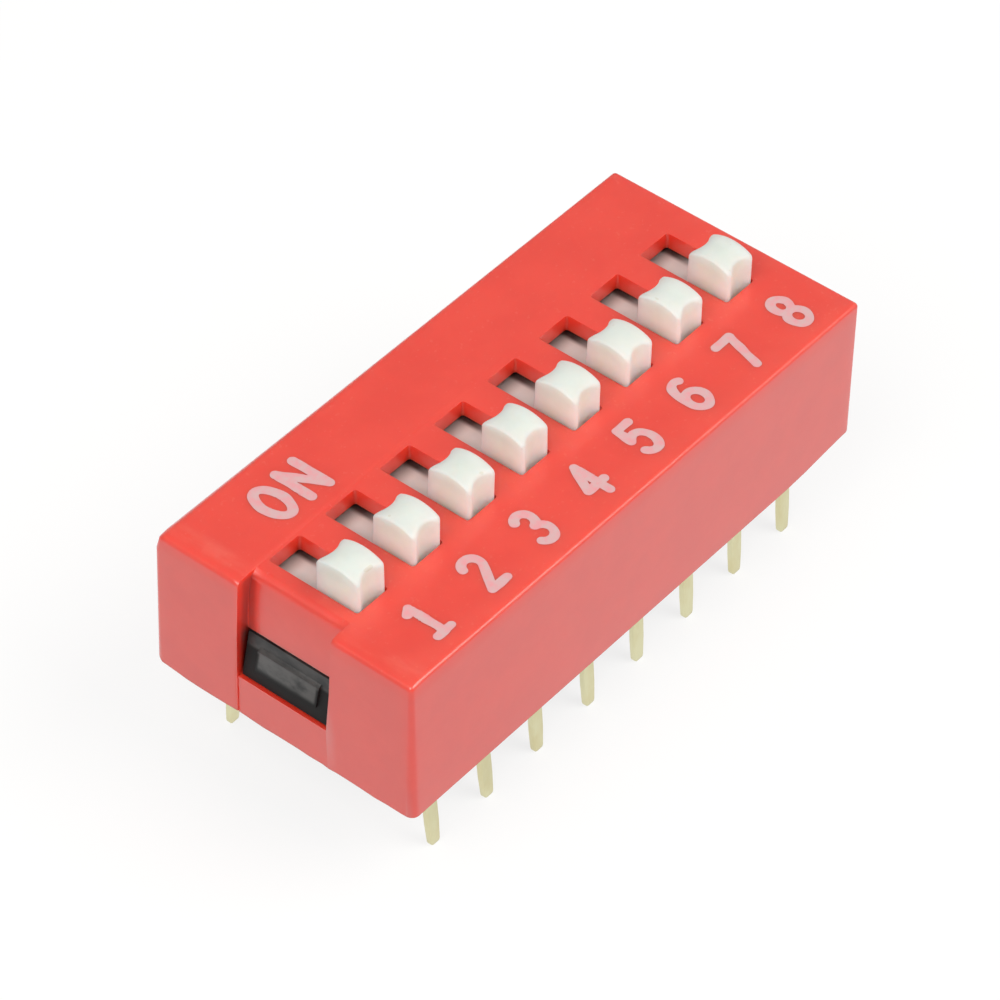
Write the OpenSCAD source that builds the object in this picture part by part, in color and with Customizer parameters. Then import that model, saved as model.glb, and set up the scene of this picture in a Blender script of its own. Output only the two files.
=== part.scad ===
// Eight-way slide DIP switch for through-hole mounting.
// A drafted moulded cover snaps over a black base. Each white slider carries a sprung contact blade that
// bridges two formed terminals in the base when the slider is pushed to ON.
// The seat, which is the underside of the base, is z = 0, and the middle of the footprint is x = y = 0.
// +X runs from the first position to the last, and +Y is the ON side. The sliders are drawn at OFF.

/* [Layout] */
// Number of switch positions in the row
positions = 8; // [2:1:12]
// Distance from one position to the next
pitch = 2.54; // [2.44:0.01:2.8]
// Distance between the two rows of pins at the seat
row_spacing = 7.62; // [7.5:0.01:8.4]

/* [Cover] */
// Height of the cover from its rim to its top face
cover_height = 5.6; // [5.4:0.05:6.2]
// How far the top face reaches past the middle of each pin row
row_overhang = 1.08; // [1.05:0.01:1.3]
// How far the cover reaches past the cell of its first and last position
end_overhang = 0.74; // [0.7:0.01:1]
// Draft of the two long walls, in degrees
wall_draft = 1; // [0:0.1:2]
// Thickness of the top plate
top_plate = 0.6; // [0.5:0.01:0.7]
// Thickness of the long walls at the top face
side_wall = 0.8; // [0.7:0.01:0.85]
// Thickness of the end walls
end_wall = 0.9; // [0.85:0.01:0.95]
// Radius of the edges round the top face
edge_radius = 0.15; // [0.05:0.01:0.25]
// Radius of the upright corners at the rim
corner_radius = 0.3; // [0.15:0.01:0.4]
// Height of the rim above the seat
rim_lift = 0.05; // [0.02:0.01:0.15]

/* [Slots] */
// Width of a slot, across the travel
slot_width = 1.4; // [1.3:0.01:1.45]
// Length of a slot, along the travel
slot_length = 3.46; // [3.3:0.01:3.6]
// Radius of the slots' corners
slot_corner = 0.1; // [0.05:0.01:0.2]

/* [Snap] */
// Width of the channel in the end wall
channel_width = 3.6; // [3.2:0.05:4]
// Depth of the channel in the outer face of the end wall
channel_depth = 0.5; // [0.4:0.01:0.55]
// Radius of the shoulder between the channel's panel and the top face
panel_round = 0.3; // [0.1:0.01:0.4]
// How far the strap's face lies behind the face of the end wall
strap_setback = 0.04; // [0.02:0.01:0.08]
// Height of the top of the strap that the lug hooks over
strap_top = 1.58; // [1.4:0.01:1.8]
// Height of the top of the snap window
window_top = 3.28; // [3.1:0.01:3.5]
// How far the lug reaches over the strap
catch_reach = 0.34; // [0.25:0.01:0.36]
// Width of the raised pad on the lug
lug_pad_width = 2.4; // [2:0.05:2.8]
// Height of the raised pad on the lug
lug_pad_height = 0.7; // [0.6:0.01:0.85]
// Height of the pad's lower edge above the lug's underside
lug_pad_lift = 0.5; // [0.35:0.01:0.55]
// How far the pad stands out of the lug's slope
lug_pad_rise = 0.12; // [0.08:0.01:0.15]
// How far the pad sits to one side of the lug's middle
lug_pad_offset = 0.12; // [0:0.01:0.2]

/* [Slider] */
// Length of a knob, along the travel
knob_length = 1.67; // [1.6:0.01:1.75]
// Height of a knob's crest above the top face
knob_rise = 1.28; // [1:0.01:1.5]
// Radius of the knob's crown
crown_radius = 1.5; // [1.3:0.05:2.5]
// Radius that joins the crown to the knob's ends
crown_edge = 0.3; // [0.2:0.01:0.4]
// Depth of the finger scoop in each end of the knob
scoop_depth = 0.19; // [0.1:0.01:0.25]
// Radius of the horns beside each scoop
horn_radius = 0.12; // [0.08:0.01:0.16]
// Radius of the knob's side edges
side_edge = 0.07; // [0.04:0.01:0.12]
// Width of the flange that runs under the slots
flange_width = 2; // [1.8:0.01:2.05]
// Thickness of the flange
flange_thickness = 0.5; // [0.4:0.01:0.55]
// How far the flange still laps the slot's end at full travel
flange_lap = 0.2; // [0.15:0.01:0.25]
// Height of the boss that holds the contact blade
boss_height = 0.6; // [0.5:0.01:0.65]
// Length of the boss, along the travel
boss_length = 1.3; // [1.2:0.05:1.5]
// Side of the square tenon that the blade is staked on
tenon_side = 0.5; // [0.4:0.01:0.55]

/* [Contact blade] */
// Thickness of the blade
blade_thickness = 0.12; // [0.08:0.01:0.14]
// Width of the blade
blade_width = 0.9; // [0.8:0.01:1.1]
// Distance from the middle of the blade to each foot
foot_reach = 1.6; // [1.5:0.01:1.65]
// Radius of the feet
foot_radius = 0.35; // [0.25:0.01:0.4]
// Upward turn of the blade's ends, in degrees
foot_turn = 45; // [30:1:60]

/* [Terminals] */
// Width of a pin
pin_width = 0.5; // [0.45:0.01:0.6]
// Thickness of the terminal strip
pin_thickness = 0.22; // [0.18:0.01:0.25]
// Length of the pins below the seat
pin_length = 3.4; // [2.5:0.05:4.5]
// Outward lean of the pins, in degrees
pin_lean = 2.9; // [0:0.1:6]
// Length of the slight taper at the pins' tips
tip_taper = 0.9; // [0.3:0.05:1.5]
// Width of a pin at its tip
tip_width = 0.4; // [0.3:0.01:0.44]
// Radius of the tip's corners
tip_corner = 0.1; // [0.05:0.01:0.14]
// Width of the contact pads
pad_width = 1; // [0.9:0.01:1.2]
// Height of the contact pads above the seat
pad_level = 3; // [2.8:0.01:3.05]
// How far a pad reaches past the foot that rests on it
pad_lap = 0.25; // [0.2:0.01:0.35]
// Inside radius of the terminals' bends
bend_radius = 0.2; // [0.1:0.01:0.3]
// Height of the shoulder where the terminal narrows to the pin
shoulder_height = 1.4; // [1:0.05:1.8]

/* [Base] */
// Width of the contact wells between the ribs
well_width = 1.5; // [1.4:0.01:1.6]
// Bevel round the top of the base, which leads the cover on
base_bevel = 0.15; // [0.05:0.01:0.25]
// Height of the step along each row of pins, which holds the base clear of their solder
step_height = 0.25; // [0.15:0.01:0.4]
// Distance from the pins to the seat between the rows
step_reach = 0.35; // [0.25:0.01:0.6]

/* [Clearances] */
// Gap between the base and the cover, at the walls and at the ribs
fit_gap = 0.05; // [0.02:0.01:0.06]
// Gap above and below the flanges
slide_gap = 0.06; // [0.03:0.01:0.1]
// Gap beside the flanges
flange_gap = 0.07; // [0.04:0.01:0.09]
// Gap between a knob and each side of its slot
knob_gap = 0.06; // [0.03:0.01:0.08]
// Gap between a knob and the slot's end that stops it
stop_gap = 0.02; // [0.01:0.01:0.05]
// Gap between the blades' feet and the pads
contact_gap = 0.02; // [0.01:0.01:0.04]

/* [Hidden] */
// Facets of the spheres and cylinders in the cover's hull
$fn = 32;
// Steps in a quarter turn of a drawn arc
arc_steps = 8;
// Overshoot of cutting shapes
cut = 1;

cover_length = positions * pitch + 2 * end_overhang;
cover_width = row_spacing + 2 * row_overhang;
cover_top = rim_lift + cover_height;
ceiling = cover_top - top_plate;
cavity_length = cover_length - 2 * end_wall;
cavity_width = cover_width - 2 * side_wall;

travel = slot_length - knob_length - 2 * stop_gap;
knob_width = slot_width - 2 * knob_gap;
flange_top = ceiling - slide_gap;
flange_bottom = flange_top - flange_thickness;
flange_length = slot_length + travel + 2 * flange_lap;

rib_top = flange_bottom - slide_gap;
base_length = cavity_length - 2 * fit_gap;
base_width = cavity_width - 2 * fit_gap;

blade_top = flange_bottom - boss_height;
// How far inside the boss's ends the blade's flat stops
blade_inset = 0.1;
blade_flat = boss_length / 2 - blade_inset;
// Radius of the bend where each arm turns down, and length of the straight end past each foot
blade_bend = 0.2;
tail_length = 0.12;
well_length = 2 * (foot_reach + foot_radius + tail_length + travel / 2);
// How far the staked head of the tenon stands out all round, and its thickness
stake_head = 0.1;

// The middle of position i along the row
function position_x(i) = (i - (positions + 1) / 2) * pitch;

// Points of an arc about c from angle a0 to a1, without its first and last skip points
function arc(c, r, a0, a1, skip = 0) =
    let (n = max(2, ceil(abs(a1 - a0) / 90 * arc_steps)))
    [for (k = [skip:n - skip]) let (a = a0 + (a1 - a0) * k / n) c + r * [cos(a), sin(a)]];

// Outline of a rectangle with rounded corners, about the origin
function rounded_box(length, width, r) = [
    for (q = [0:3])
        each arc([(q == 0 || q == 3 ? 1 : -1) * (length / 2 - r), (q < 2 ? 1 : -1) * (width / 2 - r)],
                 r, 90 * q, 90 * q + 90)
];

// Outline of a strip of constant thickness along a path of [y, z, heading] steps
function strip_outline(path, thickness) =
    let (side = function (s) [for (p = path) [p[0], p[1]] + s * thickness / 2 * [-sin(p[2]), cos(p[2])]],
         upper = side(1), lower = side(-1), last = len(path) - 1)
    concat(upper, [for (k = [last:-1:0]) lower[k]]);

// Carries a [y, z] outline along X, centred on x = 0
module across(width) {
    rotate([90, 0, 90]) translate([0, 0, -width / 2]) linear_extrude(width) children();
}

// Carries an [x, z] outline along Y, centred on y = 0
module along(length) {
    rotate([90, 0, 0]) translate([0, 0, -length / 2]) linear_extrude(length) children();
}

// A block centred on x = y = 0 that reaches from z0 to z1
module block(length, width, z0, z1) {
    translate([-length / 2, -width / 2, z0]) cube([length, width, z1 - z0]);
}

// Turns what is drawn at the +X end round to the end that side names
module at_end(side) {
    rotate([0, 0, side > 0 ? 0 : 180]) children();
}

// ---- cover -----------------------------------------------------------------------------------------------

// The outer form: long walls with draft, round corners and a rounded edge round the top
module cover_blank() {
    rim_length = cover_length / 2 - corner_radius;
    rim_width = cover_width / 2 + cover_height * tan(wall_draft) - corner_radius;
    hull() for (sx = [-1, 1], sy = [-1, 1]) {
        translate([sx * rim_length, sy * rim_width, rim_lift]) cylinder(r = corner_radius, h = edge_radius);
        translate([sx * (cover_length / 2 - edge_radius), sy * (cover_width / 2 - edge_radius),
                   cover_top - edge_radius]) sphere(r = edge_radius);
    }
}

// Ribs under the top plate keep the flanges apart and rest on the ribs of the base
module cover_ribs() {
    rib = pitch - flange_width - 2 * flange_gap;
    for (i = [1:positions - 1]) translate([position_x(i) + pitch / 2, 0, 0])
        block(rib, cavity_width + cut, rib_top + fit_gap, ceiling + cut);
}

// What the lug needs in an end wall, drawn as one outline: a relief inside the strap, open below, the window
// above the strap, and outside the strap a little off its face. With open_top the window's outer half runs up
// through the top face as a channel, and its panel ends in a round shoulder.
module snap_opening(open_top) {
    inside = cavity_length / 2 - cut;
    panel = cover_length / 2 - channel_depth;
    face = cover_length / 2 - strap_setback;
    outside = cover_length / 2 + cut;
    shoulder = panel - panel_round;
    channel = concat([[outside, cover_top + cut], [shoulder, cover_top + cut]],
                     arc([shoulder, cover_top - panel_round], panel_round, 90, 0), [[panel, window_top]]);
    along(channel_width) polygon(concat(
        [[inside, -cut], [panel, -cut], [panel, strap_top], [face, strap_top], [face, -cut], [outside, -cut]],
        open_top ? channel : [[outside, window_top]], [[inside, window_top]]));
}

// The strap across the end wall hangs a little lower than the rim
module strap_foot() {
    translate([cover_length / 2 - channel_depth, -channel_width / 2, 0])
        cube([channel_depth - strap_setback, channel_width, strap_top / 2]);
}

module cover() color("#e2493f") {
    difference() {
        cover_blank();
        difference() {
            block(cavity_length, cavity_width, -cut, ceiling);
            cover_ribs();
        }
        for (i = [1:positions]) translate([position_x(i), 0, ceiling - cut])
            linear_extrude(top_plate + 2 * cut) polygon(rounded_box(slot_width, slot_length, slot_corner));
        at_end(-1) snap_opening(true);
        at_end(1) snap_opening(false);
    }
    for (side = [-1, 1]) at_end(side) strap_foot();
}

// ---- base ------------------------------------------------------------------------------------------------

// The lug: a slope that spreads the strap as the cover goes on, a flat underside that hooks over it, and a
// raised pad in the middle of the slope
module lug() {
    foot = strap_top + fit_gap;
    head = window_top - fit_gap;
    panel = cover_length / 2 - channel_depth;
    root = base_length / 2 - cut;
    low = foot + lug_pad_lift;
    high = low + lug_pad_height;
    face = function (z) panel + (head - z) * catch_reach / (head - foot);
    along(channel_width - 2 * fit_gap)
        polygon([[root, foot], [panel + catch_reach, foot], [panel, head], [root, head]]);
    translate([0, -lug_pad_offset, 0]) along(lug_pad_width)
        polygon([[root, low], [face(low) + lug_pad_rise, low], [face(high) + lug_pad_rise, high],
                 [panel, high + lug_pad_rise], [root, high + lug_pad_rise]]);
}

// The block, bevelled round its top, with the seat standing down between the steps at the pins
module base_block() {
    half_length = base_length / 2;
    half_width = base_width / 2;
    half_seat = row_spacing / 2 - pin_thickness / 2 - step_reach;
    intersection() {
        across(base_length) polygon([
            [-half_seat, 0], [half_seat, 0], [half_seat, step_height], [half_width, step_height],
            [half_width, rib_top - base_bevel], [half_width - base_bevel, rib_top],
            [base_bevel - half_width, rib_top], [-half_width, rib_top - base_bevel],
            [-half_width, step_height], [-half_seat, step_height]]);
        along(base_width) polygon([
            [-half_length, 0], [half_length, 0], [half_length, rib_top - base_bevel],
            [half_length - base_bevel, rib_top], [base_bevel - half_length, rib_top],
            [-half_length, rib_top - base_bevel]]);
    }
}

// The block and its lugs, less the contact wells, which leave ribs between them, and the terminals' seats
module base() color("#2b2c2e") difference() {
    union() {
        base_block();
        for (side = [-1, 1]) at_end(side) lug();
    }
    for (i = [1:positions]) translate([position_x(i), 0, 0])
        block(well_width, well_length, pad_level, rib_top + cut);
    for (n = [1:2 * positions]) terminal(n);
}

// ---- slider ----------------------------------------------------------------------------------------------

// Plan of the knob: a scoop of radius scoop in each end runs smoothly into a horn at each corner
function knob_plan() =
    let (reach = knob_width / 2 - horn_radius, depth = scoop_depth, tip = knob_length / 2 - horn_radius,
         scoop = (reach * reach + depth * depth) / (2 * depth) - horn_radius,
         lean = atan2(scoop + horn_radius - depth, reach),
         end = concat(arc([reach, tip], horn_radius, 0, 180 - lean),
                      arc([0, knob_length / 2 - depth + scoop], scoop, -lean, lean - 180, 1),
                      arc([-reach, tip], horn_radius, lean, 180)))
    concat(end, -1 * end);

// Side view of the knob: a shallow crown between two round shoulders
function knob_crown() =
    let (crest = cover_top + knob_rise, reach = knob_length / 2 - crown_edge, r = crown_radius - crown_edge,
         turn = acos(reach / r), shoulder = crest - crown_radius + r * sin(turn))
    concat([[knob_length / 2, flange_bottom]], arc([reach, shoulder], crown_edge, 0, turn),
           arc([0, crest - crown_radius], crown_radius, turn, 180 - turn, 1),
           arc([-reach, shoulder], crown_edge, 180 - turn, 180), [[-knob_length / 2, flange_bottom]]);

// End view of the knob: its two side edges are rounded
function knob_end() =
    let (half = knob_width / 2, crest = cover_top + knob_rise)
    concat([[half, flange_bottom]], arc([half - side_edge, crest - side_edge], side_edge, 0, 90),
           arc([side_edge - half, crest - side_edge], side_edge, 90, 180), [[-half, flange_bottom]]);

module knob() intersection() {
    translate([0, 0, flange_bottom]) linear_extrude(cover_top + knob_rise + cut - flange_bottom)
        polygon(knob_plan());
    across(knob_width + cut) polygon(knob_crown());
    along(knob_length + cut) polygon(knob_end());
}

module slider(i) color("#e6eae2") translate([position_x(i), -travel / 2, 0]) {
    knob();
    translate([0, 0, flange_bottom]) linear_extrude(flange_thickness)
        polygon(rounded_box(flange_width, flange_length, slot_corner));
    block(blade_width, boss_length, blade_top, flange_bottom);
    block(tenon_side, tenon_side, blade_top - blade_thickness, blade_top);
    block(tenon_side + 2 * stake_head, tenon_side + 2 * stake_head,
          blade_top - blade_thickness - stake_head, blade_top - blade_thickness);
}

// ---- contact blade ---------------------------------------------------------------------------------------

// One arm of the blade as [y, z, heading]: a bend down, the straight arm that is the common tangent of the
// bend and the foot, the foot, and a short turned-up tail
function blade_arm() =
    let (bend_at = [blade_flat, blade_top - blade_thickness / 2 - blade_bend],
         foot_at = [foot_reach, pad_level + contact_gap + blade_thickness / 2 + foot_radius],
         span = foot_at - bend_at,
         slope = asin((blade_bend + foot_radius) / norm(span)) - atan2(span[1], span[0]),
         step = function (p, a) [p[0], p[1], a],
         turns = arc_steps)
    concat([for (k = [0:turns]) let (a = slope * k / turns)
                step(bend_at + blade_bend * [sin(a), cos(a)], -a)],
           [for (k = [0:turns]) let (a = -slope + (slope + foot_turn) * k / turns)
                step(foot_at + foot_radius * [sin(a), -cos(a)], a)],
           [step(foot_at + foot_radius * [sin(foot_turn), -cos(foot_turn)]
                 + tail_length * [cos(foot_turn), sin(foot_turn)], foot_turn)]);

module blade(i) color("#c8a14c") translate([position_x(i), -travel / 2, 0]) {
    arm = blade_arm();
    last = len(arm) - 1;
    mirrored = [for (k = [last:-1:0]) [-arm[k][0], arm[k][1], -arm[k][2]]];
    difference() {
        across(blade_width) polygon(strip_outline(concat(mirrored, arm), blade_thickness));
        block(tenon_side + contact_gap, tenon_side + contact_gap, blade_top - cut, blade_top + cut);
    }
}

// ---- terminals -------------------------------------------------------------------------------------------

// Terminals are numbered as pins are: along the OFF row from position 1, and back along the ON row
function terminal_position(n) = n <= positions ? n : 2 * positions + 1 - n;
function terminal_side(n) = n <= positions ? -1 : 1;

// Inner end of a pad: on the OFF side the blade's foot never leaves the pad, and on the ON side it reaches
// the pad only in the second half of its travel
function pad_end(side) = foot_reach - (side < 0 ? travel / 2 + pad_lap : 0);

// Side view of the terminal as [y, z, heading]: pad, bend, stem down to the seat, and the leaning pin
function terminal_path(side) =
    let (row = row_spacing / 2, r = bend_radius + pin_thickness / 2, level = pad_level - pin_thickness / 2)
    concat([[pad_end(side), level, 0]],
           [for (k = [0:arc_steps]) let (a = 90 * k / arc_steps)
                [row - r + r * sin(a), level - r + r * cos(a), -a]],
           [[row, -fit_gap, pin_lean / 2 - 90],
            [row + (pin_length - fit_gap) * tan(pin_lean), -pin_length, pin_lean - 90]]);

// Front view of the terminal: as wide as the pad down to the shoulder, then the pin, which tapers a little
// to a blunt tip
function terminal_front() =
    let (half = pin_width / 2, pad = pad_width / 2, r = tip_corner,
         corner = [tip_width / 2 - r, r - pin_length])
    concat([[pad, pad_level], [-pad, pad_level], [-pad, shoulder_height], [-half, shoulder_height],
            [-half, tip_taper - pin_length]],
           arc([-corner[0], corner[1]], r, 180, 270), arc(corner, r, 270, 360),
           [[half, tip_taper - pin_length], [half, shoulder_height], [pad, shoulder_height]]);

module terminal(n) color("#cdcda2") {
    side = terminal_side(n);
    translate([position_x(terminal_position(n)), 0, 0]) mirror([0, side < 0 ? 1 : 0, 0]) intersection() {
        across(pad_width) polygon(strip_outline(terminal_path(side), pin_thickness));
        along(cover_width) polygon(terminal_front());
    }
}

// ---- assembly --------------------------------------------------------------------------------------------

cover();
base();
for (i = [1:positions]) {
    slider(i);
    blade(i);
}
for (n = [1:2 * positions]) terminal(n);
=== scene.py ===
import bmesh
import bpy
import numpy as np
from mathutils import Matrix, Vector


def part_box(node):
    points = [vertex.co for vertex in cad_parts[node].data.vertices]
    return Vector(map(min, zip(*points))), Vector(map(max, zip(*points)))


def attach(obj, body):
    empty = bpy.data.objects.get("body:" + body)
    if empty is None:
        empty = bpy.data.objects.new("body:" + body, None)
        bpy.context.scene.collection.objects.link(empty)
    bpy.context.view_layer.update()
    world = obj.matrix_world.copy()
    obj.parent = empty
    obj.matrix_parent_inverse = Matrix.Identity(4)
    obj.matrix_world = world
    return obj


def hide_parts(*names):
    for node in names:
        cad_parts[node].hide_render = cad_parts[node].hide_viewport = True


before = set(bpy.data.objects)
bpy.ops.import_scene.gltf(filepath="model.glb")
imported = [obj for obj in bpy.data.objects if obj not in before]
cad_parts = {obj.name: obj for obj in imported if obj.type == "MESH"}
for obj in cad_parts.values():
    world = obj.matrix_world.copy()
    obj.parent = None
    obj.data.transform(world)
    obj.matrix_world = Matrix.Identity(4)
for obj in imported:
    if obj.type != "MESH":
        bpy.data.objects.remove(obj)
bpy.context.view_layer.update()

# ---- camera ----------------------------------------------------------------------------------------------
# A long lens looks down at the near end and the numbered side of the switch, which stands on its pins. The
# camera is built from the azimuth, elevation and roll of its line of sight, in the part's own frame.

scene = bpy.context.scene
scene.view_settings.view_transform = "Standard"

azimuth, elevation, roll = np.radians([-51.764, 44.479, 1.497])
aim = Vector((-0.000797, 0.0000035, 0.00265))
distance = 0.155066
back = Vector((np.sin(azimuth) * np.cos(elevation), -np.cos(azimuth) * np.cos(elevation),
               np.sin(elevation)))
level = Vector((np.cos(azimuth), np.sin(azimuth), 0))
upright = back.cross(level)
right = np.cos(roll) * level + np.sin(roll) * upright
up = -np.sin(roll) * level + np.cos(roll) * upright
turned = Matrix((right, up, back)).transposed().to_4x4()

lens = bpy.data.cameras.new("camera")
lens.lens = 181.23
lens.sensor_width = 36
lens.clip_start = 0.005
camera = bpy.data.objects.new("camera", lens)
scene.collection.objects.link(camera)
camera.matrix_world = Matrix.Translation(aim + distance * back) @ turned
scene.camera = camera

# ---- cover -----------------------------------------------------------------------------------------------
# The red cover is one injection moulding in a satin engineering plastic. It is snapped down over the base
# and held by a strap across each end. Its edges left the mould a little soft, its long walls a little bowed.


class Link:
    """The output of a shader node. Arithmetic on links and numbers adds Math nodes."""

    def __init__(self, recipe, socket):
        self.recipe, self.socket = recipe, socket

    def math(self, operation, *terms):
        return self.recipe.node("ShaderNodeMath", {"operation": operation}, dict(enumerate(terms)))

    def __add__(self, other):
        return self.math("ADD", self, other)

    def __sub__(self, other):
        return self.math("SUBTRACT", self, other)

    def __rsub__(self, other):
        return self.math("SUBTRACT", other, self)

    def __mul__(self, other):
        return self.math("MULTIPLY", self, other)

    def __abs__(self):
        return self.math("ABSOLUTE", self)

    __radd__ = __add__
    __rmul__ = __mul__

    def step(self, low, high):
        """0 where the value is under low, 1 where it is over high, and a smooth ramp between them."""
        settings = {"data_type": "FLOAT", "interpolation_type": "SMOOTHSTEP"}
        sockets = {"Value": self, "From Min": low, "From Max": high}
        return self.recipe.node("ShaderNodeMapRange", settings, sockets)


class Recipe:
    """A tree of shader nodes."""

    def __init__(self, tree):
        self.tree = tree

    def feed(self, socket, value):
        """Gives a socket its link or its value."""
        if isinstance(value, Link):
            self.tree.links.new(value.socket, socket)
        else:
            socket.default_value = value

    def node(self, kind, settings, sockets, output=0):
        """Adds a node of that kind, sets its settings, gives its sockets values or links, and returns an
        output."""
        made = self.tree.nodes.new(kind)
        for key, value in settings.items():
            setattr(made, key, value)
        for key, value in sockets.items():
            self.feed(made.inputs[key], value)
        return Link(self, made.outputs[output])


class Finish(Recipe):
    """A material whose pattern sits in the part's own frame, in metres."""

    def __init__(self, name, **constants):
        self.material = bpy.data.materials.new(name)
        self.material.use_nodes = True
        super().__init__(self.material.node_tree)
        self.shader = self.tree.nodes["Principled BSDF"]
        for key, value in constants.items():
            self.feed(self.shader.inputs[key.replace("_", " ")], value)
        self.place = self.node("ShaderNodeTexCoord", {}, {}, "Object")

    def axes(self):
        """The x, y and z of each point."""
        split = self.node("ShaderNodeSeparateXYZ", {}, {0: self.place}).socket.node
        return [Link(self, output) for output in split.outputs]

    def noise(self, size, detail=2.0, roughness=0.5, stretch=(1, 1, 1)):
        """Noise from 0 to 1 whose features are about size metres, longer along the axes that stretch
        names."""
        finer = [1 / (size * s) for s in stretch]
        scaled = self.node("ShaderNodeMapping", {}, {"Vector": self.place, "Scale": finer})
        sockets = {"Vector": scaled, "Scale": 1.0, "Detail": detail, "Roughness": roughness}
        return self.node("ShaderNodeTexNoise", {"noise_dimensions": "3D"}, sockets)

    def blend(self, amount, low, high, how="MIX"):
        """The colour low where amount is 0 and high where it is 1."""
        settings = {"data_type": "RGBA", "blend_type": how}
        colours = [(*c, 1) if isinstance(c, tuple) else c for c in (low, high)]
        return self.node("ShaderNodeMix", settings, {0: amount, 6: colours[0], 7: colours[1]}, 2)

    def paint(self, colour, roughness, height, depth):
        """Feeds the shader its colour, its roughness and a bump of that depth in metres."""
        self.feed(self.shader.inputs["Base Color"], colour)
        self.feed(self.shader.inputs["Roughness"], roughness)
        bump = self.node("ShaderNodeBump", {}, {"Height": height, "Distance": depth, "Strength": 1.0})
        self.feed(self.shader.inputs["Normal"], bump)


def softened(node, name, width, angle, cuts=()):
    """A copy of a CAD node as one closed skin: its doubles are merged, its flat faces joined, and each edge
    that turns by more than the angle gets a small round of the given width. Each cut, an axis and a place
    on it, adds a line of vertices there, so that the skin can be bent."""
    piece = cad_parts[node].copy()
    piece.data = piece.data.copy()
    piece.name = name
    piece.parent = None
    for key in list(piece.keys()):
        del piece[key]
    scene.collection.objects.link(piece)
    skin = bmesh.new()
    skin.from_mesh(piece.data)
    bmesh.ops.remove_doubles(skin, verts=skin.verts, dist=1e-7)
    bmesh.ops.dissolve_limit(skin, angle_limit=0.004, verts=skin.verts, edges=skin.edges)
    for axis, place in cuts:
        everything = skin.verts[:] + skin.edges[:] + skin.faces[:]
        normal = [float(k == axis) for k in range(3)]
        on_plane = [n * place for n in normal]
        bmesh.ops.bisect_plane(skin, geom=everything, dist=1e-8, plane_co=on_plane, plane_no=normal)
    bmesh.ops.remove_doubles(skin, verts=skin.verts, dist=2e-6)
    skin.to_mesh(piece.data)
    skin.free()
    round_off = piece.modifiers.new("soft edges", "BEVEL")
    round_off.width = width
    round_off.segments = 2
    round_off.limit_method = "ANGLE"
    round_off.angle_limit = angle
    round_off.harden_normals = True
    piece.data.shade_smooth()
    piece.data.set_sharp_from_angle(angle=np.radians(35))
    return piece


def moved(piece, *changes):
    """Moves the vertices of a piece. Each change takes and returns their x, y and z as arrays, in
    millimetres."""
    points = np.empty(3 * len(piece.data.vertices))
    piece.data.vertices.foreach_get("co", points)
    axes = 1000 * points.reshape(-1, 3).T
    for change in changes:
        axes = change(*axes)
    points = 0.001 * np.stack(axes, 1)
    piece.data.vertices.foreach_set("co", points.ravel())
    piece.data.update()


def ramp(value, start, end):
    """0 before start, 1 past end, and in proportion between them."""
    return np.clip((value - start) / (end - start), 0, 1)


cover_low, cover_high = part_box("cover")
cover_top, cover_end = cover_high.z * 1000, cover_high.x * 1000
cover_length = cover_end - cover_low.x * 1000
panel_x, channel_half, window_sill, window_head, panel_height = -10.4, 1.8, 1.58, 3.28, 2.07
soft_edge, sharp_turn = 0.00004, np.radians(40)


def far_wall(x, y, z):
    """The far wall stands out by 0.2 mm plus 0.08 mm times its share of the depth, all times the share of the
    length from the far end, and fades in over the top 0.3 mm. The rim's near corner is rounded: its lowest
    line rises by 0.28 mm and the next by 0.16 mm, times the squares of a ramp along x and a ramp along y."""
    depth = cover_top - z
    out = ramp(depth, 0, 0.3) * (cover_end - x) / cover_length
    corner = ramp(-x, 10.25, 10.9) ** 2 * ramp(y, 4.3, 4.9) ** 2
    rounding = np.where(z < 0.12, 0.28, np.where(z < 0.3, 0.16, 0))
    return x, y + np.where(y > 4.6, (0.2 + 0.08 * depth / cover_top) * out, 0), z + rounding * corner


def leaning(z):
    """How far the right-hand edge of the snap window leans inwards at that height."""
    return np.interp(z, [0, window_sill, window_head, 5.3], [0.13, 0.2, 0.07, 0])


def near_channel(x, y, z):
    """The panel over the near window leans back by 0.12 mm times the cube of the share of its height, and the
    round shoulder at its top is 0.85 as deep. The window is 0.07 mm taller. Both sides of the channel lean
    in, by amounts that run straight from one height to the next."""
    channel = (np.abs(y) < channel_half + 0.01) & (x > panel_x - 0.02)
    near = x < -10.05
    up_panel = (z - window_head) / panel_height
    leant = panel_x + 0.12 * up_panel ** 3 + 0.85 * (x - panel_x)
    x = np.where(channel & near & (z > window_head + 0.02), leant, x)
    z = z + np.where(channel & (x < -9.95) & (np.abs(z - window_head) < 0.01), 0.07, 0)
    left_lean = np.interp(z, [1.6, 3.3, 5.3], [0.1, 0.08, 0])
    y = y + np.where(near & (np.abs(y + channel_half) < 0.01), leaning(z), 0)
    return x, y + np.where(near & (np.abs(y - channel_half) < 0.01), left_lean, 0), z


def drawn_rims(x, y, z):
    """The long rim is drawn up by 0.26 mm over the last 3.4 mm of the far end, smoothly at both ends of that
    stretch and as the square of a ramp across the wall. The top rolls down by 0.08 mm over the last 0.6 mm of
    the near end, as a square. The rim there is ragged by 0.02 mm times a sum of sines of y."""
    rise = ramp(x, 7.5, 10.9)
    rise = 0.26 * rise ** 2 * (3 - 2 * rise) * ramp(-y, 3.2, 4.8) ** 2
    z = z + np.where(z < 1, rise, 0)
    z = z - np.where(z > 5.2, 0.08 * ramp(-x, 10.3, 10.9) ** 2, 0)
    ragged = np.sin(5.1 * y + 1) * np.sin(2.3 * y) + 0.6 * np.sin(9.7 * y + 2)
    return x, y, z + np.where((x < -10.8) & (z < 0.2), 0.02 * ragged, 0)


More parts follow.
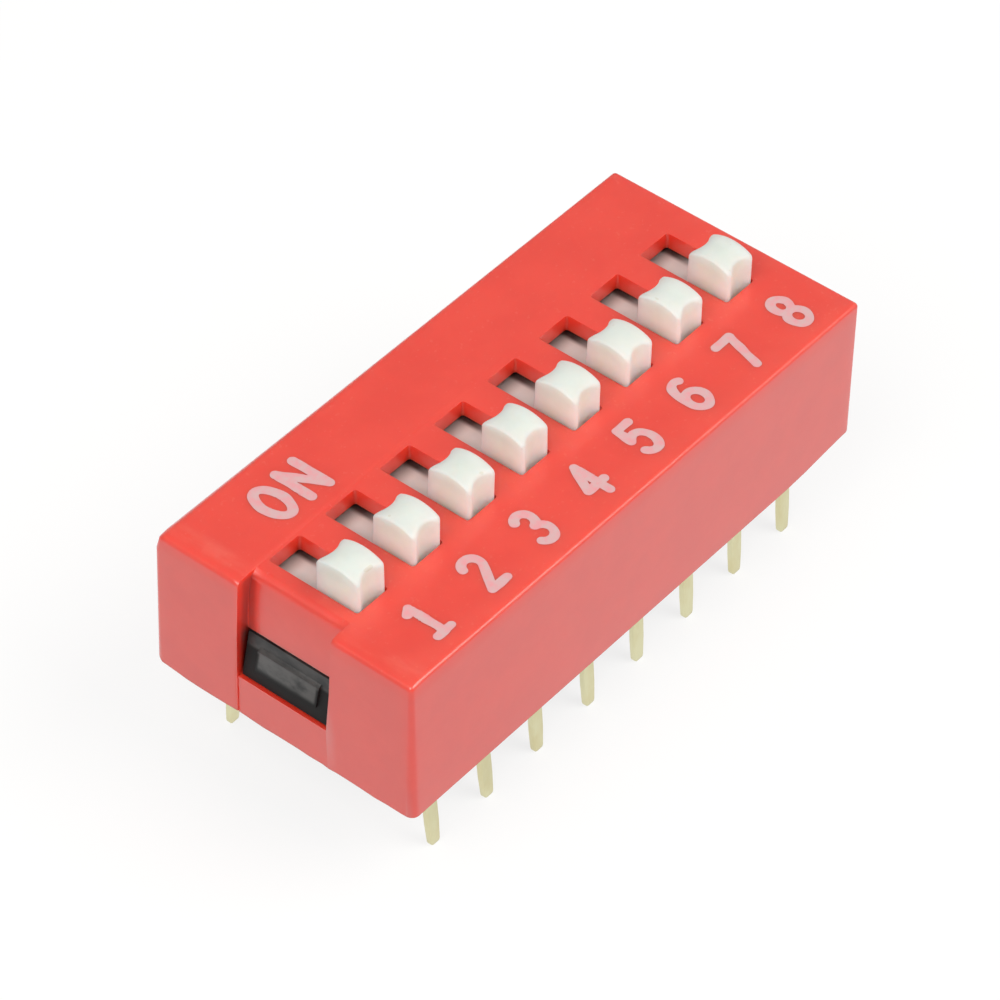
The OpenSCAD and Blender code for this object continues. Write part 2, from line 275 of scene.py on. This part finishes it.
red = Finish("red moulding", IOR=1.8, Coat_Weight=0.5, Coat_Roughness=0.2, Subsurface_Weight=1.0,
             Subsurface_Scale=0.0003, Subsurface_Radius=(1.0, 0.2, 0.1))
x, y, z = red.axes()
cloud = red.noise(0.0016, 3.0, 0.55)
fine = red.noise(0.00022, 2.0, 0.6)
sheen_streaks = red.noise(0.0006, 3.0, 0.6, (1.0, 3.0, 1))
colour = red.blend(cloud.step(0.3, 0.7), (0.82, 0.051, 0.024), (0.86, 0.060, 0.030))

# Pale specks all over the top, and painted highlight streaks, a painted sheen, on its edge over the near end
specks = red.noise(0.00013, 1.0, 0.4).step(0.66, 0.78)
on_top = z.step(cover_high.z - 0.00012, cover_high.z - 0.00006)
colour = red.blend(specks * on_top * 0.16, colour, (0.92, 0.24, 0.18))
near_end_painted_sheen = (0 - x).step(0.00985, 0.01025) * (1 - (0 - x).step(0.0105, 0.0107)) * on_top
colour = red.blend(near_end_painted_sheen * sheen_streaks.step(0.40, 0.75) * 0.30, colour, (0.95, 0.22, 0.17))

# Painted shade in the channel's inner corner, and a painted shade darkening the face at the left of the
# window
inner_corner = red.node("ShaderNodeCombineXYZ", {}, {0: x + 0.0104, 1: y - 0.00185, 2: 0.0})
inner_corner = red.node("ShaderNodeVectorMath", {"operation": "LENGTH"}, {0: inner_corner}, 1)
painted_corner_shade = (1 - inner_corner.step(0.00015, 0.00038)) * inner_corner.step(0.00001, 0.00005)
painted_corner_shade = painted_corner_shade * z.step(0.0016, 0.0019) * (1 - z.step(0.0054, 0.00558))
colour = red.blend(painted_corner_shade * 0.6, colour, (0.40, 0.012, 0.006))
painted_window_shade = (x + 0.0109).step(0.0001, 0.0004) * (1 - z.step(0.0031, 0.0036)) * z.step(0.00159, 0.00162)
painted_window_shade = painted_window_shade * y.step(0.0017, 0.00175) * (1 - y.step(0.0019, 0.00195))
colour = red.blend(painted_window_shade * 0.85, colour, (0.08, 0.004, 0.003))

# The top is painted paler towards its long numbered edge, a painted sheen
long_edge_painted_sheen = (0 - y).step(0.0035, 0.0049) * on_top
colour = red.blend(long_edge_painted_sheen * (0.4 + 0.6 * sheen_streaks) * 0.12, colour, (0.95, 0.26, 0.20))
red.paint(colour, 0.29 + 0.05 * cloud + 0.04 * fine, 0.6 * fine + 0.8 * cloud, 0.000004)

# Lines of vertices for the bends, in millimetres, clear of the lines that the moulding has already
lines_x = [-10.69, -10.53, -10.45, -10.33, -10.24, 7.5, 8.5, 9.4, 10.3]
lines_y = [side * line for line in (0.45, 0.9, 1.4, 2.05, 2.5, 3, 3.5, 4, 4.5) for side in (-1, 1)]
lines_z = [window_sill, window_head, 3.9, 4.5, 5]
cuts = [(axis, 0.001 * line) for axis, lines in enumerate([lines_x, lines_y, lines_z]) for line in lines]
cover = softened("cover", "moulded_cover", soft_edge, sharp_turn, cuts)
moved(cover, far_wall, near_channel, drawn_rims)
cover.data.materials.clear()
cover.data.materials.append(red.material)
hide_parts("cover")
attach(cover, "housing")

# ---- base ------------------------------------------------------------------------------------------------
# The black base carries the terminals in its ribs. Its lug at each end springs under the strap of the cover.
# Through the window the lug's raised pad is painted paler in patches, a painted highlight, and the hollow
# round it is painted nearly black, a painted shade.

black = Finish("black moulding", IOR=1.58, Specular_IOR_Level=0.4)
x, y, z = black.axes()
wear_and_pad_sheen = black.noise(0.0005, 3.0, 0.6, (1, 1.8, 1))
dust = black.noise(0.0001, 2.0, 0.5)
colour = black.blend(wear_and_pad_sheen.step(0.35, 0.7), (0.016, 0.016, 0.017), (0.054, 0.051, 0.050))

# The hollow of each lug is painted nearly black, a painted shade. Its pad, which swaps sides between the two
# ends, is painted paler in patches, a painted highlight
on_lug = abs(x).step(0.0103, 0.0105)
lug_painted_shade = on_lug * (1 - z.step(0.0027, 0.00285))
across = y * (1 - 2 * x.step(0, 0.001))
on_pad = across.step(-0.00106, -0.00094) * (1 - across.step(0.00118, 0.0013)) * on_lug
on_pad = on_pad * z.step(0.00215, 0.00235) * (1 - z.step(0.00275, 0.0029))
colour = black.blend(lug_painted_shade, colour, (0.002, 0.002, 0.002))
colour = black.blend(on_pad * wear_and_pad_sheen.step(0.2, 0.55), colour, (0.086, 0.082, 0.080))
roughness = 0.29 + 0.14 * wear_and_pad_sheen + 0.4 * (1 - on_pad) * lug_painted_shade
black.paint(colour, roughness, wear_and_pad_sheen + 0.4 * dust, 0.000006)


def eased_lug(x, y, z):
    """The near lug follows the cover: its right-hand edge leans as the window's does, and its left-hand edge
    stands 0.08 mm further over."""
    near_lug, lug_half = x < -10.3, 1.75
    y = y + np.where(near_lug & (np.abs(y + lug_half) < 0.01), leaning(z), 0)
    return x, y + np.where(near_lug & (np.abs(y - lug_half) < 0.01), 0.08, 0), z


base = softened("base", "moulded_base", soft_edge, sharp_turn)
moved(base, eased_lug)
base.data.materials.clear()
base.data.materials.append(black.material)
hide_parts("base")
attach(base, "housing")

# ---- terminals -------------------------------------------------------------------------------------------
# Each terminal is stamped from tinned brass strip and bent over: a contact pad, a stem in the base, and the
# pin below the seat. No two pins stand quite alike, as they were sprung outwards and handled since.


def quads(rows, columns):
    """The corners of the faces of a grid whose rows are closed rings: a point, its neighbour round the ring,
    and the two below them."""
    i, j = np.meshgrid(np.arange(rows - 1), np.arange(columns), indexing="ij")
    k = (j + 1) % columns
    corners = [i * columns + j, i * columns + k, (i + 1) * columns + k, (i + 1) * columns + j]
    return np.stack(corners, -1).reshape(-1, 4)


def skin_of(name, grids, material, sharp):
    """One mesh piece from grids of closed rings, in millimetres. Rings that shrink to a point close the ends:
    their doubles are merged, and the faces are turned outwards. Edges sharper than that many degrees stay
    sharp."""
    points, faces, offset = [], [], 0
    for grid in grids:
        rows, columns = grid.shape[:2]
        points.append(grid.reshape(-1, 3))
        faces.append(quads(rows, columns) + offset)
        offset += rows * columns
    mesh = bpy.data.meshes.new(name)
    mesh.from_pydata((np.concatenate(points) * 0.001).tolist(), [], np.concatenate(faces).tolist())
    skin = bmesh.new()
    skin.from_mesh(mesh)
    bmesh.ops.remove_doubles(skin, verts=skin.verts, dist=1e-8)
    bmesh.ops.dissolve_degenerate(skin, edges=skin.edges, dist=1e-9)
    bmesh.ops.recalc_face_normals(skin, faces=skin.faces)
    skin.to_mesh(mesh)
    skin.free()
    mesh.shade_smooth()
    mesh.set_sharp_from_angle(angle=np.radians(sharp))
    mesh.materials.append(material)
    piece = bpy.data.objects.new(name, mesh)
    scene.collection.objects.link(piece)
    return piece


positions, pitch, row = 8, 2.54, 3.81
strip_half, strip_edge, bend = 0.11, 0.045, 0.31
pad_half, pin_half, taper = 0.5, 0.25, 0.05
pad_z, shoulder_z, seat_z, taper_z, tip_z = 2.89, 1.4, -0.05, -2.5, -3.4
side_round, face_round = 0.12, 0.05
lean = np.radians(2.9)
near_pad_end, far_pad_end = 0.475, 1.6


def quarter(height, radius):
    """How far a quarter round of that radius draws a face in at a height over its end."""
    short = radius - np.clip(height, 0, radius)
    return radius - np.sqrt(radius ** 2 - short ** 2)


def terminal_strip(x_middle, side, pad_end, sway, splay):
    """The strip as a rounded rectangle carried along its path. The path runs along the pad, round a quarter
    bend, down the stem and along the leaning pin; sway and splay tilt the pin by so many millimetres at its
    tip. The width is that of the pad down to the shoulder, then that of the pin, which tapers and is
    rounded at its tip. The first and last rings have no spread, so that they close the ends."""
    turn = np.linspace(0, np.pi / 2, 7)
    shoulder = [shoulder_z + 0.02, shoulder_z, shoulder_z - 0.02, 0.4]
    tip = [-2.9, tip_z + side_round, tip_z + face_round, tip_z + 0.015, tip_z]
    down = np.concatenate([shoulder, [seat_z], np.linspace(-0.6, taper_z, 5), tip])
    path_y = [[pad_end, pad_end + 0.02], row - bend + bend * np.sin(turn), np.full(len(down), row)]
    path_z = np.concatenate([[pad_z, pad_z], pad_z - bend + bend * np.cos(turn), down])
    heading = np.concatenate([[0, 0], -turn, np.full(len(down), -np.pi / 2)])
    below = np.clip(seat_z - path_z, 0, None)
    pin_length = seat_z - tip_z
    share = below / pin_length
    path_y = np.concatenate(path_y) + below * np.tan(lean) + splay * share
    heading = heading + np.where(below > 0, lean + np.arctan(splay / pin_length), 0)
    half = np.where(path_z > shoulder_z - 0.01, pad_half, pin_half)
    half = half - taper * ramp(path_z, taper_z, tip_z) - quarter(path_z - tip_z, side_round)
    thick = strip_half - quarter(path_z - tip_z, face_round)
    spread = np.ones((len(path_z), 1))
    spread[[0, -1]] = 0
    corner = (np.linspace(0, np.pi / 2, 4)[None] + np.arange(4)[:, None] * np.pi / 2).ravel()
    signs = np.repeat([[1, 1], [-1, 1], [-1, -1], [1, -1]], 4, axis=0)
    across = signs[:, 0] * (half[:, None] - strip_edge) + strip_edge * np.cos(corner)
    through = signs[:, 1] * (thick[:, None] - strip_edge) + strip_edge * np.sin(corner)
    px = x_middle + spread * across + (sway * share)[:, None]
    py = side * (path_y[:, None] - spread * through * np.sin(heading)[:, None])
    pz = path_z[:, None] + spread * through * np.cos(heading)[:, None]
    return np.stack([px, py, pz], -1)


tin = Finish("tinned brass", Metallic=1.0)
patch = tin.noise(0.0006, 3.0, 0.6, (1, 1, 2.0))
drawn = tin.noise(0.00008, 2.0, 0.6, (1, 1, 12))
colour = tin.blend(patch.step(0.3, 0.7), (0.70, 0.64, 0.38), (0.76, 0.73, 0.48))
tin.paint(colour, 0.36 + 0.16 * patch, drawn + patch, 0.000006)

# How far the tip of each pin is swayed along the row and splayed away from the body
sways = [0.15, 0.16, 0.10, 0.10, 0.06, 0.05, 0.04, 0.03, 0.02, -0.03, 0.04, -0.02, 0.03, 0.01, -0.02, 0.0]
splays = [0.05, 0.06, 0.02, 0.03, 0.0, 0.02, -0.01, 0.0, 0.02, 0.0, -0.02, 0.03, 0.0, 0.01, 0.02, 0.0]
for n, (sway, splay) in enumerate(zip(sways, splays), 1):
    numbered_side = n <= positions
    place = n if numbered_side else 2 * positions + 1 - n
    side, pad_end = (-1, near_pad_end) if numbered_side else (1, far_pad_end)
    strip = terminal_strip((place - 4.5) * pitch, side, pad_end, sway, splay)
    pin = skin_of(f"stamped_terminal_{n}", [strip], tin.material, 60)
    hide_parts(f"terminal_{n}")
    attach(pin, "housing")

# ---- sliders ---------------------------------------------------------------------------------------------
# Each slider is moulded in white nylon: a knob with a finger scoop in both ends, the flange that runs under
# the slot, and the boss that the contact blade is staked on. Tiny gate marks are left on the knobs.

knob_length, knob_width, crest = 1.67, 1.28, 1.28
crown, crown_edge, scoop, horn, soft, draft = 1.5, 0.3, 0.19, 0.12, 0.07, 0.012
middle_y, knob_foot = -0.875, 4.6


def knob_outline():
    """Plan of the knob and its outward normals: at each end a horn, a scoop and a horn, joined by arcs that
    touch, and straight sides between the two ends. The second half is the first turned by half a turn."""
    reach, tip = knob_width / 2 - horn, knob_length / 2 - horn
    hollow = (reach ** 2 + scoop ** 2) / (2 * scoop) - horn
    meet = np.arctan2(hollow + horn - scoop, reach)
    first = np.linspace(0, np.pi - meet, 10)
    inner = np.linspace(-meet, meet - np.pi, 17)[1:-1]
    second = np.linspace(meet, np.pi, 10)
    angle = np.concatenate([first, inner, second])
    counts = [10, 15, 10]
    sense = np.repeat([1.0, -1.0, 1.0], counts)
    centres = [[reach, tip], [0, knob_length / 2 - scoop + hollow], [-reach, tip]]
    size = np.where(sense > 0, horn, hollow)
    ray = np.stack([np.cos(angle), np.sin(angle)], 1)
    along = np.linspace(tip, -tip, 12)[1:-1]
    side = np.stack([np.full(10, -knob_width / 2), along], 1)
    points = np.concatenate([np.repeat(centres, counts, axis=0) + size[:, None] * ray, side])
    normals = np.concatenate([sense[:, None] * ray, np.tile([-1.0, 0.0], (10, 1))])
    return np.concatenate([points, -points]), np.concatenate([normals, -normals])


def crown_height(y):
    """Height of the knob's top over the crest: an arc of radius crown between two arcs of radius
    crown_edge."""
    reach = knob_length / 2 - crown_edge
    inner = crown - crown_edge
    meet = crown * reach / inner
    shoulder = np.sqrt(inner ** 2 - reach ** 2) - crown
    middle = np.sqrt(crown ** 2 - np.clip(np.abs(y), 0, meet) ** 2) - crown
    past = np.clip(np.abs(y) - reach, 0, None)
    edge = shoulder + np.sqrt(np.clip(crown_edge ** 2 - past ** 2, 0, None))
    return np.where(np.abs(y) < meet, middle, edge)


def knob_skin(x_middle, lift, tilt):
    """The knob as rings from its foot to its crown: the outline drawn straight up with a little draft, turned
    in through a quarter round of radius soft, then shrunk to the middle of the crown, whose height follows
    y. The first ring is a point that closes the foot. Above the cover the knob tilts along x."""
    outline, normal = knob_outline()
    climb = np.linspace(0, 1, 6)
    turn = np.linspace(0, np.pi / 2, 7)[1:]
    shrink = np.linspace(1, 0, 9)[1:]
    inset = np.concatenate([draft * climb, draft + soft * (1 - np.cos(turn))])
    rings = outline[None] - inset[:, None, None] * normal[None]
    rings = np.concatenate([rings, rings[-1][None] * shrink[:, None, None]])
    drop = np.concatenate([np.zeros(len(climb)), soft * (1 - np.sin(turn)), np.zeros(len(shrink))])
    top = cover_top + crest + lift + crown_height(rings[..., 1])
    height = top - drop[:, None]
    wall = top[len(climb) - 1] - soft
    height[:len(climb)] = knob_foot + climb[:, None] * (wall - knob_foot)
    plan = np.concatenate([0 * outline[None], rings])
    height = np.concatenate([np.full((1, len(outline)), knob_foot), height])
    above = np.clip(height - cover_top, 0, None)
    return np.stack([x_middle + plan[..., 0] + tilt * above, middle_y + plan[..., 1], height], -1)


def soft_block(x_middle, half, low, high, r):
    """A block with rounded edges, below the middle of a knob: rings of a rounded plan with those half sizes,
    turned in by a quarter round at the bottom and at the top, and closed at the middle of both faces."""
    middle = np.array([x_middle, middle_y])
    corner = (np.linspace(0, np.pi / 2, 5)[None] + np.arange(4)[:, None] * np.pi / 2).ravel()
    signs = np.repeat([[1, 1], [-1, 1], [-1, -1], [1, -1]], 5, axis=0)
    turn = np.linspace(-np.pi / 2, np.pi / 2, 9)
    ray = np.stack([np.cos(corner), np.sin(corner)], 1)
    ring = middle + signs[None] * (np.array(half) - r) + (r * np.cos(turn))[:, None, None] * ray[None]
    level = np.where(turn < 0, low + r, high - r) + r * np.sin(turn)
    cap = np.tile(middle, (1, len(corner), 1))
    plan = np.concatenate([cap, ring, cap])
    level = np.concatenate([[low], level, [high]])
    return np.concatenate([plan, np.repeat(level[:, None, None], len(corner), 1)], -1)


white = Finish("white moulding", IOR=1.52, Subsurface_Weight=1.0, Subsurface_Scale=0.0012,
               Subsurface_Radius=(1.0, 0.75, 0.65))
x, y, z = white.axes()
milk = white.noise(0.0007, 2.0, 0.5)
grain = white.noise(0.00012, 2.0, 0.6)
gate = white.noise(0.00035, 0.0, 0.5).step(0.80, 0.83)
colour = white.blend(milk.step(0.3, 0.7), (0.85, 0.90, 0.82), (0.89, 0.94, 0.86))

# The knobs are painted greyer towards their crowns, a painted shade, and the crowns hold the gate marks
colour = white.blend(z.step(0.0060, 0.0069), colour, (0.80, 0.82, 0.85), "MULTIPLY")
colour = white.blend(gate * z.step(0.0066, 0.0067) * 0.4, colour, (0.55, 0.55, 0.42))

# The flanges are painted greyer and pinker, darker at both ends, and darkest where they run under the sides
# of the slots, all painted shade
on_flange = 1 - z.step(0.0051, 0.0052)
half_pitch = 0.001 * pitch / 2
from_middle = abs(y - 0.001 * middle_y)
from_axis = half_pitch - x.math("PINGPONG", x, half_pitch)
painted_end_shade = from_middle.step(0.0020, 0.0026) * on_flange
painted_side_shade = from_axis.step(0.00042, 0.00064) * from_middle.step(0.0011, 0.0023) * on_flange
colour = white.blend(on_flange, colour, (0.86, 0.73, 0.76), "MULTIPLY")
colour = white.blend(painted_end_shade * 0.8, colour, (0.18, 0.14, 0.13))
colour = white.blend(painted_side_shade * 0.92, colour, (0.04, 0.012, 0.01))
white.paint(colour, 0.42 + 0.1 * grain, grain + milk, 0.000006)

# How high each knob stands over its true height, how much it leans, and how much deeper its flange lies
lifts = [0.05, 0.0, 0.02, 0.06, 0.0, -0.05, -0.04, 0.0]
tilts = [-0.03, 0.0, 0.01, -0.02, 0.0, 0.01, 0.0, 0.01]
sinks = [0.02, 0.06, 0.06, 0.03, 0.07, 0.07, 0.06, 0.03]
for i, (lift, tilt, sink) in enumerate(zip(lifts, tilts, sinks), 1):
    at = (i - 4.5) * pitch
    flange = soft_block(at, (1, 2.805), 4.49 - sink, 4.99 - sink, 0.04)
    boss = soft_block(at, (0.45, 0.65), 3.89, 4.55 - sink, 0.03)
    tenon = soft_block(at, (0.25, 0.25), 3.70, 3.95, 0.02)
    staked_head = soft_block(at, (0.35, 0.35), 3.67, 3.77, 0.03)
    parts = [knob_skin(at, lift, tilt), flange, boss, tenon, staked_head]
    slider = skin_of(f"moulded_slider_{i}", parts, white.material, 50)
    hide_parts(f"slider_{i}")
    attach(slider, f"switch_{i}")

# ---- contact blades --------------------------------------------------------------------------------------
# A sprung strip of gilt phosphor bronze hangs under each slider, staked on its boss. Its two feet slide over
# the pads of the terminals inside the closed housing.

gilt = Finish("gilt spring", Metallic=1.0)
rolled = gilt.noise(0.00006, 2.0, 0.6, (1, 10, 1))
colour = gilt.blend(rolled.step(0.3, 0.7), (0.74, 0.50, 0.20), (0.80, 0.58, 0.27))
gilt.paint(colour, 0.29 + 0.1 * rolled, rolled, 0.000003)
for i in range(1, positions + 1):
    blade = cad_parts[f"blade_{i}"]
    blade.data.materials.clear()
    blade.data.materials.append(gilt.material)

# ---- print -----------------------------------------------------------------------------------------------
# The numbers of the positions and the word that marks the closed side are pad printed on the top in one pass
# of pale ink, a thin film with slightly soft, uneven edges through which the red shows a little.


def arc_line(cx, cy, rx, ry, start, end, count=24):
    """Points of an ellipse about (cx, cy) from one angle to another, in degrees."""
    angle = np.radians(np.linspace(start, end, count))
    return np.stack([cx + rx * np.cos(angle), cy + ry * np.sin(angle)], 1)


def joined(*runs):
    """One stroke from runs of points."""
    return np.concatenate(runs)


def glyph_film(strokes, middle, half_stroke, seed, cell=0.025):
    """The ink of one character. The distance from each point of a grid to the nearest stroke, less half the
    stroke's width and a little noise, is negative under the ink. Cells that are under it are kept, and the
    points round their edge are moved along the distance's slope on to its zero line."""
    starts = np.concatenate([s[:-1] for s in strokes])
    ends = np.concatenate([s[1:] for s in strokes])
    reach = np.abs(np.concatenate([starts, ends])).max(0) + half_stroke + 3 * cell
    u, v = [np.arange(-r, r + cell, cell) for r in reach]
    grid = np.stack(np.meshgrid(u, v, indexing="ij"), -1)
    away = grid[:, :, None] - starts
    run = ends - starts
    share = np.clip((away * run).sum(-1) / np.maximum((run ** 2).sum(-1), 1e-9), 0, 1)
    distance = np.linalg.norm(away - share[..., None] * run, axis=-1).min(-1)
    wave = np.random.default_rng(seed).uniform(-1, 1, (6, 3))
    ripple = sum(np.sin(9 * (a * grid[..., 0] + b * grid[..., 1]) + 6 * c) for a, b, c in wave)
    distance = distance - half_stroke - 0.006 * ripple
    slope = np.stack(np.gradient(distance, cell), -1)
    slope = slope / np.maximum(np.linalg.norm(slope, axis=-1, keepdims=True), 1e-6)
    near = np.abs(distance) < 0.8 * cell
    grid = np.where(near[..., None], grid - distance[..., None] * slope, grid)
    inside = (distance[:-1, :-1] + distance[1:, :-1] + distance[:-1, 1:] + distance[1:, 1:]) < 0
    i, j = np.nonzero(inside)
    columns = distance.shape[1]
    first = i * columns + j
    faces = np.stack([first, first + columns, first + columns + 1, first + 1], 1)
    used, faces = np.unique(faces, return_inverse=True)
    flat = grid.reshape(-1, 2)[used] + middle
    points = np.concatenate([flat, np.full((len(flat), 1), cover_top + 0.012)], 1)
    return points, faces.reshape(-1, 4)


# Strokes of each character about its own middle, in millimetres: x to the right, y upwards
characters = {
    "1": [np.array([(-0.02, -0.70), (-0.02, 0.70)]), np.array([(-0.34, -0.70), (0.30, -0.70)]),
          np.array([(-0.02, 0.70), (-0.26, 0.52)])],
    "2": [joined(arc_line(0, 0.36, 0.32, 0.34, 165, -30), [(-0.34, -0.70), (0.36, -0.70)])],
    "3": [joined(arc_line(-0.02, 0.36, 0.30, 0.34, 150, -80), arc_line(-0.02, -0.34, 0.34, 0.36, 80, -150))],
    "4": [np.array([(0.16, -0.70), (0.16, 0.70), (-0.36, -0.28), (0.40, -0.28)])],
    "5": [joined([(0.30, 0.70), (-0.26, 0.70), (-0.30, 0.06)],
                 arc_line(-0.02, -0.24, 0.34, 0.46, 125, -150))],
    "6": [joined(arc_line(0.06, 0.02, 0.40, 0.68, 65, 180), arc_line(0, -0.30, 0.34, 0.40, 180, 540, 40))],
    "7": [np.array([(-0.34, 0.70), (0.34, 0.70), (-0.08, -0.70)])],
    "8": [arc_line(0, 0.36, 0.28, 0.34, 0, 360, 40), arc_line(0, -0.34, 0.33, 0.36, 0, 360, 40)],
    "O": [arc_line(0, 0, 0.40, 0.72, 0, 360, 48)],
    "N": [np.array([(-0.40, -0.72), (-0.40, 0.72), (0.40, -0.72), (0.40, 0.72)])],
}
middles = {"1": (-8.43, -3.40), "2": (-5.90, -3.40), "3": (-3.42, -3.40), "4": (-0.85, -3.40),
           "5": (1.65, -3.40), "6": (4.15, -3.40), "7": (6.66, -3.43), "8": (9.16, -3.45),
           "O": (-7.69, 3.22), "N": (-6.34, 3.22)}
digit_half_stroke, letter_half_stroke = 0.155, 0.165

ink = Finish("pale ink", IOR=1.5)
thin = ink.noise(0.0003, 3.0, 0.6)
pores = ink.noise(0.00006, 2.0, 0.6)
colour = ink.blend(thin.step(0.35, 0.75), (0.69, 0.43, 0.44), (0.80, 0.33, 0.36))
ink.paint(colour, 0.5 + 0.1 * thin, pores, 0.000004)

for seed, (letter, strokes) in enumerate(characters.items()):
    half_stroke = digit_half_stroke if letter.isdigit() else letter_half_stroke
    points, faces = glyph_film(strokes, middles[letter], half_stroke, seed)
    mesh = bpy.data.meshes.new(f"ink_{letter}")
    mesh.from_pydata((points * 0.001).tolist(), [], faces.tolist())
    mesh.materials.append(ink.material)
    film = bpy.data.objects.new(f"ink_{letter}", mesh)
    scene.collection.objects.link(film)
    body = film.modifiers.new("film", "SOLIDIFY")
    body.thickness = 0.000016
    body.offset = -1
    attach(film, "housing")

# ---- floor and light -------------------------------------------------------------------------------------
# A white table in a light tent: the sheet below the pins, the tent all round, and two broad lamps, one past
# the near end and one past the numbered side.

floor_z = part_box("terminal_1")[0].z
bpy.ops.mesh.primitive_plane_add(size=0.8, location=(0, 0, floor_z))
floor = bpy.context.object
floor.name = "floor"

# The sheet looks nearly white and is seen white in the plating, but throws less light back on the switch
paper = Finish("white sheet", Roughness=0.9, Specular_IOR_Level=0.0)
looked_at = paper.node("ShaderNodeLightPath", {}, {}, "Is Camera Ray")
mirrored = paper.node("ShaderNodeLightPath", {}, {}, "Is Glossy Ray")
paper.feed(paper.shader.inputs["Base Color"], 0.48 + 0.52 * looked_at.math("MAXIMUM", looked_at, mirrored))
glow = paper.node("ShaderNodeEmission", {}, {})
surface = Link(paper, paper.shader.outputs[0])
sheet = paper.node("ShaderNodeMixShader", {}, {0: 0.8 * looked_at + mirrored, 1: surface, 2: glow})
paper.feed(paper.tree.nodes["Material Output"].inputs["Surface"], sheet)
floor.data.materials.append(paper.material)

world = bpy.data.worlds.new("tent")
scene.world = world
world.use_nodes = True
tent = Recipe(world.node_tree)
cloth = tent.tree.nodes["Background"]
looked_at = tent.node("ShaderNodeLightPath", {}, {}, "Is Camera Ray")
tent.feed(cloth.inputs["Color"], (1, 1, 1, 1))
tent.feed(cloth.inputs["Strength"], 0.42 + 0.58 * looked_at)

for name, place, energy in [("left", (-0.23, -0.03, 0.255), 0.58), ("right", (0.09, -0.207, 0.268), 0.65)]:
    lamp = bpy.data.lights.new(name, "AREA")
    lamp.shape = "DISK"
    lamp.size = 0.25
    lamp.color = (1.0, 0.99, 0.94)
    lamp.energy = energy
    stand = bpy.data.objects.new(name, lamp)
    scene.collection.objects.link(stand)
    stand.location = place
    stand.rotation_euler = (-stand.location).to_track_quat("-Z", "Y").to_euler()

bpy.context.view_layer.update()
